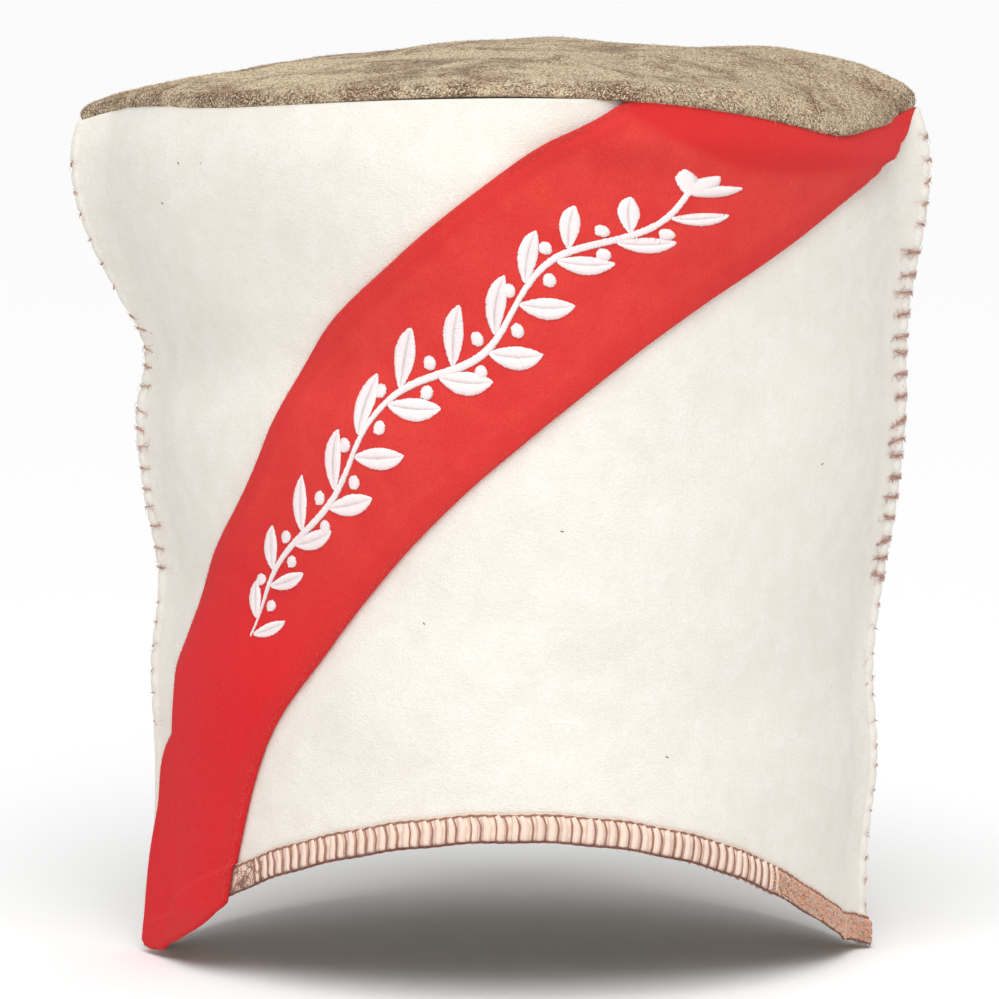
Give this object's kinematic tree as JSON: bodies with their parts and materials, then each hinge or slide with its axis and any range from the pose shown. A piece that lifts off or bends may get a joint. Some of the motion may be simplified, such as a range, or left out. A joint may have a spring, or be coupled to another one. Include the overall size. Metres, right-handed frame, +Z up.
{
  "type": "felt cossack hat",
  "caption": "Tall felt hat with two sewn body panels, a domed marl crown, a slanting red felt tongue across the front and an arched overlocked hem.",
  "frame": {"origin": "centre of the hat's footprint box, on the surface that its hem stands on", "axes": "+Z up through the crown, -Y out of the front that carries the red tongue, +X towards the right side seam as seen from the front"},
  "size_m": [0.2222, 0.2131, 0.2368],
  "materials": {
    "white_felt": "matte wool felt",
    "marl_felt": "matte wool felt with pale and dark flecks",
    "red_felt": "matte wool felt",
    "thread": "soft overlock thread"
  },
  "bodies": {
    "root": {"front_panel": "white_felt", "back_panel": "white_felt", "crown": "marl_felt", "tongue": "red_felt", "hem_overlock": "thread"}
  },
  "joints": []
}
